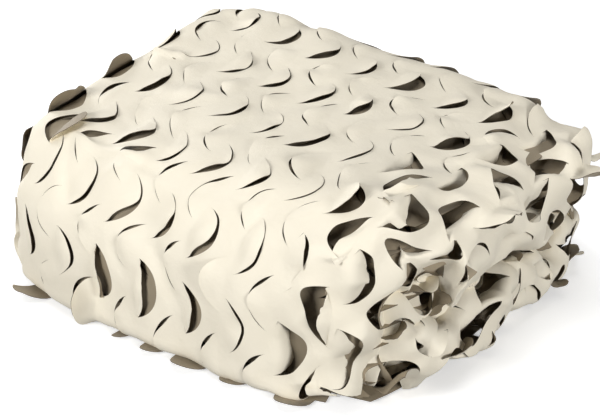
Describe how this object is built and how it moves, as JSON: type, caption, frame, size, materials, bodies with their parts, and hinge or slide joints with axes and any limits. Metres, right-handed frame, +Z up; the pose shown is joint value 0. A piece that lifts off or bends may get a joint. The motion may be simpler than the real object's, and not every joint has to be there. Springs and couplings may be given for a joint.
{
  "type": "folded shade net",
  "caption": "Shade net of thin coated cloth with S-shaped leaf cuts, folded back and forth into a soft rounded pack that lies flat.",
  "frame": {"origin": "centre of the pack's bounding box, on the surface it rests on", "axes": "+X along the smooth front face towards the leafy end, +Y from the front face to the back, +Z up"},
  "size_m": [0.469, 0.4048, 0.1622],
  "materials": {
    "cloth": "matt coated cloth, cream outside and taupe inside"
  },
  "bodies": {
    "root": {"net": "cloth"}
  },
  "joints": []
}
